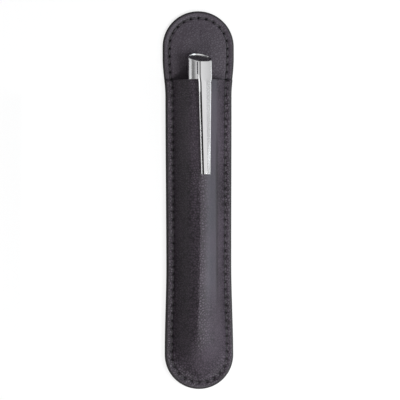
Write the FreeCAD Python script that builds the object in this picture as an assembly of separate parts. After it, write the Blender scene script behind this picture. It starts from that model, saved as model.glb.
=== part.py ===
import FreeCAD, Part
import math
import os

# A stitched leather sleeve for one fountain pen, with its pen pushed in and clipped over the mouth.
# Millimetres. The sleeve lies on its back: X across, Y along it towards the flap, Z up through the pocket.
# The origin is under the middle of the sleeve, on the surface that it lies on.

Vector = FreeCAD.Vector

# Driving dimensions of the pen
pen_length = 126.2
pen_roll = 13.0
cap_diameter = 10.3
cap_length = 62.0
cap_wall = 0.6
slant_drop = 4.0
barrel_diameter = 10.0
barrel_wall = 0.85
tail_diameter = 8.6
grip_diameter = 8.2
grip_front_diameter = 6.8
nib_length = 22.0
nib_width = 5.2
nib_sheet = 0.25
clip_length = 47.4
clip_face_top = 4.7
clip_face_neck = 4.2
clip_face_tip = 2.7
clip_bevel = 0.7
clip_thickness = 2.2
clip_root_length = 5.2
converter_diameter = 6.0
converter_wall = 0.5

# Driving dimensions of the sleeve
flap_above_pen = 17.8
tail_room = 16.0
pen_stand_out = 11.3
lobe_width = 30.3
neck_width = 28.0
waist_width = 27.2
foot_width = 29.0
back_leather = 1.1
stiffener_board = 0.5
lining_leather = 0.6
pocket_lining_cloth = 0.3
front_leather = 1.0

# Seam
seam_inset = 2.8
stitch_pitch = 3.3
stitch_gap = 0.5
thread_diameter = 0.55
groove_width = 0.9
front_groove_depth = 0.35
flap_groove_depth = 0.25
back_groove_depth = 0.6

# Fits and clearances
pen_under_clearance = 0.2
pen_over_clearance = 0.25
lining_gap = 0.05
clip_over_leather = 0.25
slide_clearance = 0.1
shaft_clearance = 0.04
thread_clearance = 0.06
push_clearance = 0.02
end_gap = 0.15
saddle_clearance = 0.15

# Places along Y
case_length = flap_above_pen + pen_length + tail_room
case_top = case_length / 2
case_bottom = -case_length / 2
pen_top = case_top - flap_above_pen
pen_tail = pen_top - pen_length
mouth_y = pen_top - pen_stand_out
neck_above_mouth = 9.0
neck_below_mouth = 7.0
waist_above_tail = 36.5
neck_top_y = mouth_y + neck_above_mouth
neck_bottom_y = mouth_y - neck_below_mouth
waist_y = pen_tail + waist_above_tail
lobe_y = case_top - lobe_width / 2
foot_y = case_bottom + foot_width / 2

# Heights of the leather stack
margin_z = back_leather + lining_leather
plateau_z = back_leather + stiffener_board + lining_leather
flange_z = margin_z + pocket_lining_cloth
front_z = flange_z + front_leather
cap_radius = cap_diameter / 2
axis_z = plateau_z + pen_under_clearance + cap_radius

# Pocket: its free width starts a leather's thickness inside the groove, and its crest follows the cap
pocket_inset = seam_inset + groove_width / 2 + front_leather - lining_gap
pocket_crest = cap_radius + pen_over_clearance
plateau_to_pocket = 1.3
plateau_inset = pocket_inset + plateau_to_pocket
plateau_bevel = 0.4
stiffener_wall = 0.7
drape_above_tail = 3.0
nose_above_edge = 4.5
nose_height = 0.6
leather_inner = pocket_lining_cloth + lining_gap
leather_outer = leather_inner + front_leather
big = 400.0


def smooth(t):
    """The 0 to 1 ease that a cubic with level ends follows."""
    return t * t * (3 - 2 * t)


def side_spans(inset):
    """The side of the cut outline as (y, half width) corners, from the flap down, moved in by inset."""
    return [
        (neck_top_y, lobe_width / 2 - inset),
        (neck_bottom_y, neck_width / 2 - inset),
        (waist_y, waist_width / 2 - inset),
        (foot_y, foot_width / 2 - inset),
    ]


def half_width(y, inset=0.0):
    """Half the width of the outline at y."""
    spans = side_spans(inset)
    if y >= lobe_y:
        return math.sqrt(max(0.0, (lobe_width / 2 - inset) ** 2 - (y - lobe_y) ** 2))
    if y >= neck_top_y:
        return spans[0][1]
    if y <= foot_y:
        return math.sqrt(max(0.0, (foot_width / 2 - inset) ** 2 - (y - foot_y) ** 2))
    for (y0, w0), (y1, w1) in zip(spans, spans[1:]):
        if y >= y1:
            return w0 + (w1 - w0) * smooth((y0 - y) / (y0 - y1))


def outline(inset, z):
    """Closed outline of the sleeve at height z: round lobe, eased sides and round foot."""
    lobe, foot = lobe_width / 2 - inset, foot_width / 2 - inset
    ends = [(lobe, lobe_y, lobe_y + lobe), (foot, foot_y, foot_y - foot)]
    edges = []
    for half, y, end_y in ends:
        round_end = Part.Arc(Vector(-half, y, z), Vector(0, end_y, z), Vector(half, y, z))
        edges.append(round_end.toShape())
    spans = side_spans(inset)
    for side in (-1, 1):
        edges.append(Part.makeLine(Vector(side * lobe, lobe_y, z), Vector(side * lobe, neck_top_y, z)))
        for (y0, w0), (y1, w1) in zip(spans, spans[1:]):
            third = (y1 - y0) / 3
            curve = Part.BezierCurve()
            poles = [(w0, y0), (w0, y0 + third), (w1, y1 - third), (w1, y1)]
            curve.setPoles([Vector(side * w, y, z) for w, y in poles])
            edges.append(curve.toShape())
    return Part.Wire(Part.__sortEdges__(edges))


def plate(inset, low, high):
    """Flat sheet with the sleeve's outline, between two heights."""
    return Part.Face(outline(inset, low)).extrude(Vector(0, 0, high - low))


def seam_ring(low, high):
    """The groove that the thread lies in, all round the outline."""
    inside = plate(seam_inset + groove_width / 2, low, high)
    return plate(seam_inset - groove_width / 2, low, high).cut(inside)


def beyond(y, above=True):
    """Everything above, or below, the cross plane at y."""
    return Part.makeBox(big, big, big, Vector(-big / 2, y if above else y - big, -big / 2))


def write(name, shape):
    """Writes one node after checking that its solids are sound."""
    solids = []
    for solid in shape.Solids:
        fixed = solid if solid.Volume > 0 else solid.reversed()
        solids.append(fixed)
    made = solids[0] if len(solids) == 1 else Part.makeCompound(solids)
    if not solids or not made.isValid():
        raise RuntimeError(name + " is not a sound solid")
    made.exportStep(os.path.join("parts", name + ".step"))
    print(name, len(solids), "solids", round(sum(s.Volume for s in solids), 2), "mm3")


# Leather of the back

def back_panel():
    """Outer back leather with the thread's groove on its outside."""
    return plate(0, 0, back_leather).cut(seam_ring(0, back_groove_depth))


def back_stiffener():
    """Thin board that keeps the back and the flap flat."""
    return plate(plateau_inset + stiffener_wall, back_leather, back_leather + stiffener_board)


def back_lining():
    """Lining leather: flat at the seam, raised over the board, with the flap's part of the groove."""
    margin = plate(0, back_leather, margin_z)
    steps = [(0, margin_z), (0, plateau_z - plateau_bevel), (plateau_bevel, plateau_z)]
    raised = Part.makeLoft([outline(plateau_inset + extra, z) for extra, z in steps], True, True)
    pocket_edge = plateau_inset + stiffener_wall - push_clearance
    pocket = plate(pocket_edge, back_leather, back_leather + stiffener_board)
    groove = seam_ring(margin_z - flap_groove_depth, margin_z).common(beyond(mouth_y))
    return margin.fuse(raised).cut(pocket).cut(groove).removeSplitter()


# Leather of the pocket

def pocket_shape(y):
    """Free half width at the foot, crest radius and crest centre height of the pocket at y."""
    foot = half_width(y, pocket_inset)
    full_top = axis_z + pocket_crest
    low_top = margin_z + nose_height
    drape_y = pen_tail + drape_above_tail
    nose_y = case_bottom + nose_above_edge
    if y >= drape_y:
        return foot, pocket_crest, axis_z
    crest = pocket_crest * foot / half_width(drape_y, pocket_inset)
    share = (y - nose_y) / (drape_y - nose_y)
    return foot, crest, low_top + (full_top - low_top) * share - crest


def pocket_section(y, base_z, grow):
    """Closed section across the pocket: foot line, two slopes and crest, moved out by grow."""
    foot, crest, crest_z = pocket_shape(y)
    rise = crest_z - margin_z
    slope = math.atan2(rise, foot) + math.asin(crest / math.hypot(foot, rise))
    half = foot + grow / math.sin(slope) - (base_z - margin_z) / math.tan(slope)
    radius = crest + grow
    shoulder_x, shoulder_z = radius * math.sin(slope), crest_z + radius * math.cos(slope)
    corners = [Vector(side * half, y, base_z) for side in (-1, 1)]
    shoulders = [Vector(side * shoulder_x, y, shoulder_z) for side in (-1, 1)]
    over = Part.Arc(shoulders[0], Vector(0, y, crest_z + radius), shoulders[1]).toShape()
    edges = [Part.makeLine(corners[0], shoulders[0]), over]
    edges += [Part.makeLine(shoulders[1], corners[1]), Part.makeLine(corners[1], corners[0])]
    return Part.Wire(edges)


def pocket_body(base_z, grow):
    """Solid under the pocket's skin, from the mouth to the closed nose."""
    drape_y = pen_tail + drape_above_tail
    nose_y = case_bottom + nose_above_edge
    straight, draped = 7, 7
    stations = [mouth_y + (drape_y - mouth_y) * i / straight for i in range(straight)]
    stations += [drape_y + (nose_y - drape_y) * i / draped for i in range(draped + 1)]
    return Part.makeLoft([pocket_section(y, base_z, grow) for y in stations], True, True)


def pocket_lining():
    """Thin lining inside the pocket, with a flange that the seam catches."""
    flange = plate(0, margin_z, flange_z).cut(beyond(mouth_y))
    skin = flange.fuse(pocket_body(flange_z, pocket_lining_cloth))
    return skin.cut(pocket_body(margin_z, 0)).removeSplitter()


def front_panel():
    """Front leather arched over the pen, with the thread's groove on its flange."""
    flange = plate(0, flange_z, front_z).cut(beyond(mouth_y))
    skin = flange.fuse(pocket_body(front_z, leather_outer)).cut(pocket_body(flange_z, leather_inner))
    groove = seam_ring(front_z - front_groove_depth, front_z).cut(beyond(mouth_y))
    return skin.cut(groove).removeSplitter()


# Seam thread

def seam_path(above_mouth):
    """Points along the right half of the seam, from the mouth to the top or the bottom of the sleeve."""
    steps = 200
    end_y, centre_y, radius = case_bottom + seam_inset, foot_y, foot_width / 2 - seam_inset
    if above_mouth:
        end_y, centre_y, radius = case_top - seam_inset, lobe_y, lobe_width / 2 - seam_inset
    side = [mouth_y + (centre_y - mouth_y) * i / steps for i in range(steps)]
    points = [(half_width(y, seam_inset), y) for y in side]
    turn = 1 if end_y > centre_y else -1
    for i in range(steps + 1):
        angle = math.pi / 2 * i / steps
        points.append((radius * math.cos(angle), centre_y + turn * radius * math.sin(angle)))
    return points


def needle_holes(points):
    """Evenly spaced places along a path, about one pitch apart."""
    lengths = [0.0]
    for a, b in zip(points, points[1:]):
        lengths.append(lengths[-1] + math.dist(a, b))
    count = round(lengths[-1] / stitch_pitch)
    holes, k = [], 0
    for i in range(count + 1):
        goal = lengths[-1] * i / count
        while k < len(points) - 2 and lengths[k + 1] < goal:
            k += 1
        t = (goal - lengths[k]) / (lengths[k + 1] - lengths[k])
        holes.append(tuple(a + t * (b - a) for a, b in zip(points[k], points[k + 1])))
    return holes


def stitch(a, b, z):
    """One stitch: a round-ended length of thread between two needle holes, its middle at height z."""
    r = thread_diameter / 2
    half = (math.dist(a, b) - stitch_gap) / 2
    outer = [Vector(0, -half, 0), Vector(r * math.sqrt(0.5), -half + r * (1 - math.sqrt(0.5)), 0)]
    outer.append(Vector(r, -half + r, 0))
    low = Part.Arc(*outer).toShape()
    high = Part.Arc(*[Vector(p.x, -p.y, 0) for p in reversed(outer)]).toShape()
    edges = [low, Part.makeLine(outer[2], Vector(r, half - r, 0)), high]
    edges.append(Part.makeLine(Vector(0, half, 0), Vector(0, -half, 0)))
    body = Part.Face(Part.Wire(edges)).revolve(Vector(0, 0, 0), Vector(0, 1, 0), 360)
    angle = math.degrees(math.atan2(-(b[0] - a[0]), b[1] - a[1]))
    body.Placement = FreeCAD.Placement(
        Vector((a[0] + b[0]) / 2, (a[1] + b[1]) / 2, z), FreeCAD.Rotation(Vector(0, 0, 1), angle)
    )
    return body


def stitches(pocket_floor, flap_floor):
    """All stitches of one side of the seam, both halves, lying on the groove floors given."""
    made = []
    for above_mouth, floor in ((True, flap_floor), (False, pocket_floor)):
        z = floor + push_clearance + thread_diameter / 2
        holes = needle_holes(seam_path(above_mouth))
        for a, b in zip(holes, holes[1:]):
            for side in (-1, 1):
                made.append(stitch((side * a[0], a[1]), (side * b[0], b[1]), z))
    return Part.makeCompound(made)


def front_stitches():
    """Stitches that show on the front."""
    return stitches(front_z - front_groove_depth, margin_z - flap_groove_depth)


def back_stitches():
    """Stitches that show on the back, sunk in their groove."""
    floor = back_groove_depth - thread_diameter - 2 * push_clearance
    return stitches(floor, floor)


# Pen: everything is turned about one axis along Y

def turned(profile):
    """Solid turned about the pen's axis from (radius, y) corners."""
    points = [Vector(r, y, axis_z) for r, y in profile]
    face = Part.Face(Part.makePolygon(points + points[:1]))
    return face.revolve(Vector(0, 0, axis_z), Vector(0, 1, 0), 360)


def tube(outer, inner, y_low, y_high):
    """Plain turned tube."""
    return turned([(inner, y_low), (outer, y_low), (outer, y_high), (inner, y_high)])


def rod(radius, y_low, y_high):
    """Plain turned rod."""
    return turned([(0, y_low), (radius, y_low), (radius, y_high), (0, y_high)])


def cross_rod(radius, y, z, half_length):
    """Rod across the pen, along X."""
    return Part.makeCylinder(radius, 2 * half_length, Vector(-half_length, y, z), Vector(1, 0, 0))


def block(half_x, y_low, y_high, z_low, z_high):
    """Box that is centred across the pen."""
    return Part.makeBox(2 * half_x, y_high - y_low, z_high - z_low, Vector(-half_x, y_low, z_low))


def above_slant(depth):
    """Everything past the plane that lies this far under the cap's slanted end."""
    lean = slant_drop / cap_diameter
    start = pen_top - depth * math.hypot(1, lean)
    low, high = axis_z - 3 * cap_radius, axis_z + 3 * cap_radius
    corners = [(start - lean * (z - axis_z + cap_radius), z) for z in (low, high)]
    corners += [(pen_top + big, high), (pen_top + big, low)]
    points = [Vector(-big / 2, y, z) for y, z in corners]
    return Part.Face(Part.makePolygon(points + points[:1])).extrude(Vector(big, 0, 0))


lip_y = pen_top - cap_length
lip_ring_length = 2.4
bore_radius = cap_radius - cap_wall
plug_radius = bore_radius - push_clearance
inlay_depth = 0.1
inlay_thickness = 0.8
plug_bottom_y = pen_top - 13.0
pin_radius = 0.6
pin_half_length = 2.1
pin_y = pen_top - 8.0
pin_z = axis_z + 3.3
tab_half = 1.2
tab_radius = 1.3
slot_half = tab_half + 0.2
slot_top_y = pen_top - slant_drop - 1.0
slot_bottom_y = pin_y - tab_radius - 0.4
slot_floor_z = pin_z - tab_radius - 0.3


def clip_slot():
    """Window through the cap's wall and into the plug that the clip's tab and spring stand in."""
    return block(slot_half, slot_bottom_y, slot_top_y, slot_floor_z, axis_z + 2 * cap_radius)


def cap_tube():
    """Plated cap, cut off at a slant, with the clip's window."""
    body = tube(cap_radius, bore_radius, lip_y + lip_ring_length, pen_top)
    return body.cut(above_slant(0)).cut(clip_slot())


def cap_lip_ring():
    """Trim ring at the cap's open end."""
    groove = 0.15
    middle = lip_y + lip_ring_length / 2
    profile = [(bore_radius, lip_y), (cap_radius, lip_y), (cap_radius, middle - groove)]
    profile += [(cap_radius - groove, middle), (cap_radius, middle + groove)]
    profile += [(cap_radius, lip_y + lip_ring_length), (bore_radius, lip_y + lip_ring_length)]
    return turned(profile)


def cap_inlay():
    """Dark disc set into the slanted end."""
    return rod(plug_radius, plug_bottom_y, pen_top).cut(above_slant(inlay_depth)).common(
        above_slant(inlay_depth + inlay_thickness)
    )


def cap_head_plug():
    """Plug under the inlay that carries the clip's pin and spring."""
    under_inlay = above_slant(inlay_depth + inlay_thickness + push_clearance)
    body = rod(plug_radius, plug_bottom_y, pen_top).cut(under_inlay).cut(clip_slot())
    return body.cut(cross_rod(pin_radius + push_clearance, pin_y, pin_z, pin_half_length))


def clip_pivot_pin():
    """Pin that the clip turns on."""
    return cross_rod(pin_radius, pin_y, pin_z, pin_half_length - push_clearance)


def clip_spring():
    """Bent leaf under the clip's heel that presses its tip down."""
    sheet, half = 0.22, 0.9
    near_y, far_y = slot_top_y - 0.15, pin_y + tab_radius + 0.15
    floor = slot_floor_z + push_clearance
    top = axis_z + cap_radius + saddle_clearance
    corners = [(far_y, floor), (near_y, floor), (near_y, top), (far_y, top), (far_y, top - sheet)]
    corners += [(near_y - sheet, top - sheet), (near_y - sheet, floor + sheet), (far_y, floor + sheet)]
    points = [Vector(-half, y, z) for y, z in corners]
    return Part.Face(Part.makePolygon(points + points[:1])).extrude(Vector(2 * half, 0, 0))


inner_cap_wall = 0.5
inner_cap_outer = bore_radius - push_clearance
inner_cap_inner = inner_cap_outer - inner_cap_wall
inner_cap_top = plug_bottom_y - end_gap
nib_tip_gap = 5.5
nib_tip_y = inner_cap_top - inner_cap_wall - nib_tip_gap
grip_front_y = nib_tip_y - nib_length
grip_seat = 0.6
inner_cap_mouth = grip_front_y + end_gap


def inner_cap():
    """Liner cup that closes over the nib."""
    profile = [(0, inner_cap_top), (inner_cap_outer, inner_cap_top), (inner_cap_outer, inner_cap_mouth)]
    profile += [(inner_cap_inner, inner_cap_mouth), (inner_cap_inner, inner_cap_top - inner_cap_wall)]
    profile.append((0, inner_cap_top - inner_cap_wall))
    return turned(profile)


# Clip

clip_top_y = pen_top - slant_drop
clip_tip_y = clip_top_y - clip_length
clip_under_z = axis_z + pocket_crest + leather_outer + clip_over_leather
clip_over_z = clip_under_z + clip_thickness
clip_flank = 0.8
clip_lift_degrees = 4.0
clip_lift_margin = 0.6


def clip_section(y, half, under_z):
    """Bevelled bar section of the clip at y."""
    base, flank_z = half + clip_bevel, clip_under_z + clip_flank
    right = [(base, under_z), (base, flank_z), (half, clip_over_z)]
    corners = right + [(-x, z) for x, z in reversed(right)]
    points = [Vector(x, y, z) for x, z in corners]
    return Part.makePolygon(points + points[:1])


def clip():
    """Clip bar with its root block, and a bored tab that goes in to the pin."""
    shoulder_y = clip_top_y - clip_root_length - 1.6
    neck_y = shoulder_y - 2.0
    widths = [(clip_top_y, clip_face_top), (shoulder_y, clip_face_top), (neck_y, clip_face_neck)]
    widths.append((clip_tip_y, clip_face_tip))
    bar = Part.makeLoft([clip_section(y, w / 2, clip_under_z) for y, w in widths], True, True)
    root_y = clip_top_y - clip_root_length
    root_half = clip_face_top / 2
    root_low = axis_z + cap_radius / 2
    root_ends = [clip_section(y, root_half, root_low) for y in (clip_top_y, root_y)]
    root = Part.makeLoft(root_ends, True, True)
    saddle = rod(cap_radius + saddle_clearance, mouth_y - cap_length, pen_top)
    swept = saddle.copy()
    swept.rotate(Vector(0, pin_y, pin_z), Vector(1, 0, 0), clip_lift_degrees + clip_lift_margin)
    tab = block(tab_half, pin_y - tab_radius, pin_y + tab_radius, pin_z, clip_under_z + clip_flank)
    tab = tab.fuse(cross_rod(tab_radius, pin_y, pin_z, tab_half))
    body = root.cut(saddle).cut(swept).fuse(bar).fuse(tab)
    return body.cut(cross_rod(pin_radius + shaft_clearance, pin_y, pin_z, tab_half)).removeSplitter()


# Grip section with nib, feed and converter

collar_top_y = lip_y + 1.8
collar_bottom_y = lip_y - end_gap
thread_length = 7.8
thread_radius = 3.7
thread_end_y = collar_bottom_y - thread_length
grip_bore = nib_width / 2
feed_radius = grip_bore - push_clearance
converter_radius = converter_diameter / 2
converter_top_y = collar_top_y - 0.7
converter_length = 38.0
converter_end_y = converter_top_y - converter_length
nipple_radius = 0.95
nipple_y = converter_top_y - 2.4
front_wall = 1.2


def grip_section():
    """Waisted grip, bored for the feed."""
    front, back = grip_front_diameter / 2, grip_diameter / 2
    lip = 0.15
    profile = [(grip_bore, grip_front_y), (front, grip_front_y), (front + lip, grip_front_y - 0.9)]
    profile += [(front, grip_front_y - 3.6), (back, collar_top_y + 3.0), (back, collar_top_y)]
    profile.append((grip_bore, collar_top_y))
    return turned(profile)


def section_collar():
    """Plated collar that the cap snaps on, with the tail that screws into the barrel."""
    inner = converter_radius + push_clearance
    outer = bore_radius - 2 * slide_clearance
    profile = [(inner, collar_top_y), (outer, collar_top_y), (outer, collar_bottom_y)]
    profile += [(thread_radius, collar_bottom_y), (thread_radius, thread_end_y), (inner, thread_end_y)]
    return turned(profile)


nib_back_y = grip_front_y - 8.0
nib_root_radius = nib_width / 2 - nib_sheet - push_clearance
nib_tip_radius = 1.0


def nib_cone(grow, y_low, y_high):
    """Cone that the nib's sheet lies on, moved out by grow."""
    span = nib_tip_y - grip_front_y
    def radius(y):
        return nib_root_radius + grow + (nib_tip_radius - nib_root_radius) * (y - grip_front_y) / span
    return turned([(0, y_low), (radius(y_low), y_low), (radius(y_high), y_high), (0, y_high)])


def nib():
    """Steel nib: curved sheet cut to a pointed plan, with its slit and breather hole, on a straight shank."""
    shoulder_y = grip_front_y + 5.5
    hole_y = grip_front_y + 9.0
    hole_radius, slit_half, point_half = 0.55, 0.06, 0.45
    cone = nib_cone(nib_sheet, grip_front_y, nib_tip_y).cut(nib_cone(0, grip_front_y - 1, nib_tip_y + 1))
    shank = tube(nib_root_radius + nib_sheet, nib_root_radius, nib_back_y, grip_front_y)
    half = nib_width / 2
    plan = [(-half, nib_back_y), (half, nib_back_y), (half, shoulder_y), (point_half, nib_tip_y)]
    plan += [(-point_half, nib_tip_y), (-half, shoulder_y)]
    points = [Vector(x, y, axis_z + 0.2) for x, y in plan]
    keep = Part.Face(Part.makePolygon(points + points[:1])).extrude(Vector(0, 0, half + nib_width))
    hole = Part.makeCylinder(hole_radius, nib_width, Vector(0, hole_y, axis_z))
    slit = block(slit_half, hole_y, nib_tip_y + 1, axis_z, axis_z + nib_width)
    return cone.fuse(shank).common(keep).cut(hole).cut(slit).removeSplitter()


def feed():
    """Ink feed under the nib, with its fins, body and nipple."""
    tip_y = nib_tip_y - 4.5
    fin_count, fin_pitch, fin_cut, fin_depth = 8, 1.1, 0.45, 0.8
    nose = nib_cone(-shaft_clearance, grip_front_y, tip_y)
    body = rod(feed_radius, nipple_y + 3.0, grip_front_y)
    shank_back = nib_back_y - 0.2
    shank = tube(feed_radius + nib_sheet, nib_root_radius - shaft_clearance, shank_back, grip_front_y)
    bed = block(nib_width, shank_back, grip_front_y, axis_z + 0.2 - shaft_clearance, axis_z + nib_width)
    made = nose.fuse(body).cut(shank.common(bed)).fuse(rod(nipple_radius, nipple_y, nipple_y + 3.0))
    for i in range(fin_count):
        y = grip_front_y + 1.2 + i * fin_pitch
        made = made.cut(block(nib_width, y, y + fin_cut, axis_z - nib_width, axis_z - fin_depth))
    return made.removeSplitter()


def converter_tube():
    """Clear ink reservoir with the hole that takes the feed's nipple."""
    inner = converter_radius - converter_wall
    hole = nipple_radius + push_clearance
    floor_y = converter_top_y - front_wall
    profile = [(hole, converter_top_y), (converter_radius, converter_top_y)]
    profile += [(converter_radius, converter_end_y), (inner, converter_end_y), (inner, floor_y)]
    profile.append((hole, floor_y))
    return turned(profile)


sleeve_overlap = 6.0
sleeve_end_y = converter_end_y - 6.0
piston_rod_radius = 0.9
rod_bore = piston_rod_radius + slide_clearance
knob_radius = converter_radius
knob_length = 8.0
knob_stem_radius = 1.8
knob_top_y = sleeve_end_y - slide_clearance
knob_stem_y = converter_end_y - 2.0


def converter_sleeve():
    """Metal sleeve on the reservoir's end that guides the knob's stem."""
    inner = converter_radius + push_clearance
    outer = inner + 0.3
    guide = knob_stem_radius + shaft_clearance
    top_y, step_y = converter_end_y + sleeve_overlap, converter_end_y - push_clearance
    profile = [(inner, top_y), (outer, top_y), (outer, sleeve_end_y), (guide, sleeve_end_y)]
    profile += [(guide, step_y), (inner, step_y)]
    return turned(profile)


def converter_knob():
    """Knurled knob whose hollow stem drives the piston rod."""
    end_y = knob_top_y - knob_length
    profile = [(rod_bore, knob_stem_y), (knob_stem_radius, knob_stem_y), (knob_stem_radius, knob_top_y)]
    profile += [(knob_radius, knob_top_y), (knob_radius, end_y), (rod_bore, end_y)]
    body = turned(profile)
    grooves, depth = 12, 0.3
    for i in range(grooves):
        start = Vector(knob_radius, end_y, axis_z)
        flute = Part.makeCylinder(depth, knob_length, start, Vector(0, 1, 0))
        flute.rotate(Vector(0, 0, axis_z), Vector(0, 1, 0), 360 * i / grooves)
        body = body.cut(flute)
    return body


piston_top_y = converter_top_y - front_wall - 1.5
piston_length = 4.0


def converter_piston():
    """Piston with two sealing lips on its rod."""
    seal = converter_radius - converter_wall - shaft_clearance
    waist = seal - 0.4
    bottom = piston_top_y - piston_length
    rod_end = knob_stem_y - 1.0
    lip, ramp = 1.2, 0.4
    profile = [(0, piston_top_y), (seal, piston_top_y), (seal, piston_top_y - lip)]
    profile += [(waist, piston_top_y - lip - ramp), (waist, bottom + lip + ramp), (seal, bottom + lip)]
    profile += [(seal, bottom), (piston_rod_radius, bottom)]
    profile += [(piston_rod_radius, rod_end), (0, rod_end)]
    return turned(profile)


# Barrel

barrel_radius = barrel_diameter / 2
tail_radius = tail_diameter / 2
barrel_top_y = collar_bottom_y - push_clearance
barrel_ring_length = 1.7
tube_top_y = barrel_top_y - barrel_ring_length
tail_plug_length = 5.2
tube_end_y = pen_tail + tail_plug_length
spigot_length = 4.0
thread_bore = thread_radius + thread_clearance
barrel_bore = barrel_radius - barrel_wall
tail_bore = tail_radius - barrel_wall


def barrel_ring():
    """Plated ring at the barrel's mouth, which holds its thread."""
    return tube(barrel_radius, thread_bore, tube_top_y, barrel_top_y)


def barrel_tube():
    """Tapered lacquered barrel."""
    thread_floor = thread_end_y - 0.7
    spigot_y = tube_end_y + spigot_length + 0.3
    profile = [(thread_bore, tube_top_y), (barrel_radius, tube_top_y), (tail_radius, tube_end_y)]
    profile += [(tail_bore, tube_end_y), (tail_bore, spigot_y), (barrel_bore, thread_floor)]
    profile.append((thread_bore, thread_floor))
    return turned(profile)


def tail_plug():
    """Plated tail with a spigot that closes the barrel."""
    spigot = tail_bore - push_clearance
    shoulder, crown = tail_radius * 0.93, tail_radius * 0.62
    spigot_y = tube_end_y + spigot_length
    profile = [(0, spigot_y), (spigot, spigot_y), (spigot, tube_end_y), (tail_radius, tube_end_y)]
    profile += [(shoulder, pen_tail + 2.0), (crown, pen_tail + 0.3), (0, pen_tail)]
    return turned(profile)


sleeve_nodes = [
    back_panel, back_stiffener, back_lining, pocket_lining, front_panel, front_stitches, back_stitches,
]
pen_nodes = [
    cap_tube, cap_lip_ring, cap_inlay, cap_head_plug, clip_pivot_pin, clip_spring, inner_cap, clip,
    grip_section, section_collar, nib, feed, converter_tube, converter_sleeve, converter_knob,
    converter_piston, barrel_ring, barrel_tube, tail_plug,
]

os.makedirs("parts", exist_ok=True)
for make in sleeve_nodes:
    write(make.__name__, make())
# The pen lies in the pocket turned a little about its own axis, so that its clip leans to the right
for make in pen_nodes:
    piece = make()
    piece.rotate(Vector(0, 0, axis_z), Vector(0, 1, 0), pen_roll)
    write(make.__name__, piece)
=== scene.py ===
"""Leather sleeve for one fountain pen, with the pen in it: its surfaces, finishes and studio."""
import math

import bpy
import numpy as np
from bpy.props import FloatProperty, FloatVectorProperty, IntProperty, PointerProperty
from mathutils import Matrix, Vector


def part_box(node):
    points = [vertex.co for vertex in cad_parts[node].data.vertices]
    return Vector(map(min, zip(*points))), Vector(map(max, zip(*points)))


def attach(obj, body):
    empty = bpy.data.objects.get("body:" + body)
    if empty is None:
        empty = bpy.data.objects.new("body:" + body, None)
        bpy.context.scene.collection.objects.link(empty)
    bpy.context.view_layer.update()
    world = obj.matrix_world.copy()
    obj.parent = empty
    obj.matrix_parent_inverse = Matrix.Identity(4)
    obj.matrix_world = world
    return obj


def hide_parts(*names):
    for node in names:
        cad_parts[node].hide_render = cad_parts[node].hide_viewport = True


bl_info = {
    "name": "Pen sleeve",
    "version": (1, 0, 0),
    "blender": (4, 5, 0),
    "location": "View3D > Sidebar > Pen sleeve",
    "description": "Leather, thread, metal and lacquer for a stitched sleeve and its fountain pen",
    "category": "Object",
}

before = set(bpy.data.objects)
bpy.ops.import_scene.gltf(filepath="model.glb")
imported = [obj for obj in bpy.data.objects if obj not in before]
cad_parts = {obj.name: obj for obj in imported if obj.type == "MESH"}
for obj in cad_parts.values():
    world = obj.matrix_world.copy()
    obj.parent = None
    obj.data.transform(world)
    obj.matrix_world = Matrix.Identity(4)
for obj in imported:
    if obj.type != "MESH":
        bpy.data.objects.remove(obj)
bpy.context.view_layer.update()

CASE_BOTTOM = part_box("back_panel")[0][1]
CASE_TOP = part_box("back_panel")[1][1]
MOUTH_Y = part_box("front_panel")[1][1]

# Insets of the mesh columns near the edge, close together along the seam.
EDGE_COLUMNS = tuple(0.001 * inset for inset in (
    0.0, 0.08, 0.2, 0.36, 0.56, 0.8, 1.1, 1.45, 1.8, 2.1, 2.3, 2.45, 2.57, 2.68, 2.8, 2.92, 3.03, 3.15, 3.3, 3.5,
    3.8, 4.2, 4.7, 5.2))
PLAIN_COLUMNS = tuple(0.001 * inset for inset in (0.0, 0.25, 0.6, 1.2, 2.0, 2.8, 3.6, 4.4, 5.2))

# Fine points on each round end and on the side of the edge, and how far the spine follows the ends.
END_POINTS = 200
SIDE_POINTS = 900
SPINE_REACH = 0.3

# Height of the margin that the pocket is sewn to.
MARGIN_Z = 0.0017

# Each face of the pocket: how far it is grown out from the pen's room, and the height of its flat margin.
FRONT_TOP = (0.00135, 0.0030)
FRONT_UNDER = (0.00036, 0.0020)
SKIVER_TOP = (0.0003, 0.00199)
SKIVER_UNDER = (0.0, MARGIN_Z)

# Place across of the crease in the pocket's right flank.
CREASE_X = 0.0070

# Heights of the thread on the pocket, the flap and the back, and the slant of a stitch.
POCKET_THREAD_Z = 0.00275
FLAP_THREAD_Z = 0.00162
BACK_THREAD_Z = 0.00029
STITCH_SLANT = math.radians(5.0)

# Profiles of the barrel's turned pieces: radius, and place along the pen.
BARREL_PROFILE = (
    (0.00492, -0.00167), (0.005, -0.00177), (0.00497, -0.012), (0.0048, -0.030), (0.00455, -0.046),
    (0.00433, -0.0585), (0.0043, -0.0588), (0.0036, -0.0588), (0.0036, -0.0560), (0.00415, -0.030),
    (0.00415, -0.00167))
BAND_PROFILE = (
    (0.00485, 0.00003), (0.00496, -0.00003), (0.005, -0.00015), (0.005, -0.0007), (0.00488, -0.00085),
    (0.005, -0.001), (0.005, -0.0015), (0.00494, -0.00162), (0.0048, -0.00167), (0.00442, -0.00167),
    (0.00442, 0.00003))
TAIL_PROFILE = (
    (0.0, -0.0640), (0.0018, -0.06395), (0.0026, -0.0637), (0.0034, -0.0630), (0.0040, -0.0620),
    (0.0043, -0.0604), (0.0043, -0.0590), (0.00424, -0.05885), (0.00355, -0.05882), (0.00355, -0.0550),
    (0.0033, -0.0548), (0.0, -0.0548))

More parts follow.
